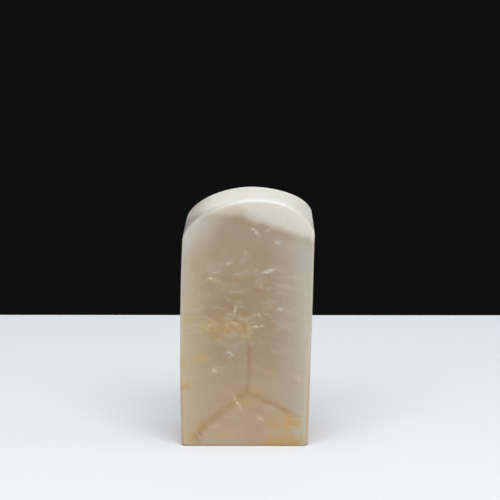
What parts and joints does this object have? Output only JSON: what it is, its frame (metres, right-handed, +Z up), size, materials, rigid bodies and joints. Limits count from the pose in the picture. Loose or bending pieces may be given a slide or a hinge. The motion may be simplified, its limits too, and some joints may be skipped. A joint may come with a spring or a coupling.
{
  "type": "seal stamp",
  "caption": "Square stone seal stamp with a hand-ground domed top, eased edges and a seal face cut in relief with a square-spiral fret inside a plain border.",
  "frame": {"origin": "middle of the seal face, the flat end that the stamp stands on and prints with", "axes": "+Z up the length of the stone to its dome, -Y out of the front face, +X to the right as seen from the front"},
  "size_m": [0.0255, 0.024, 0.0473],
  "materials": {
    "polished_stone": "hand-polished translucent soapstone, waxy satin gloss, with a matt cut seal face"
  },
  "bodies": {
    "root": {"seal_stone": "polished_stone"}
  },
  "joints": []
}
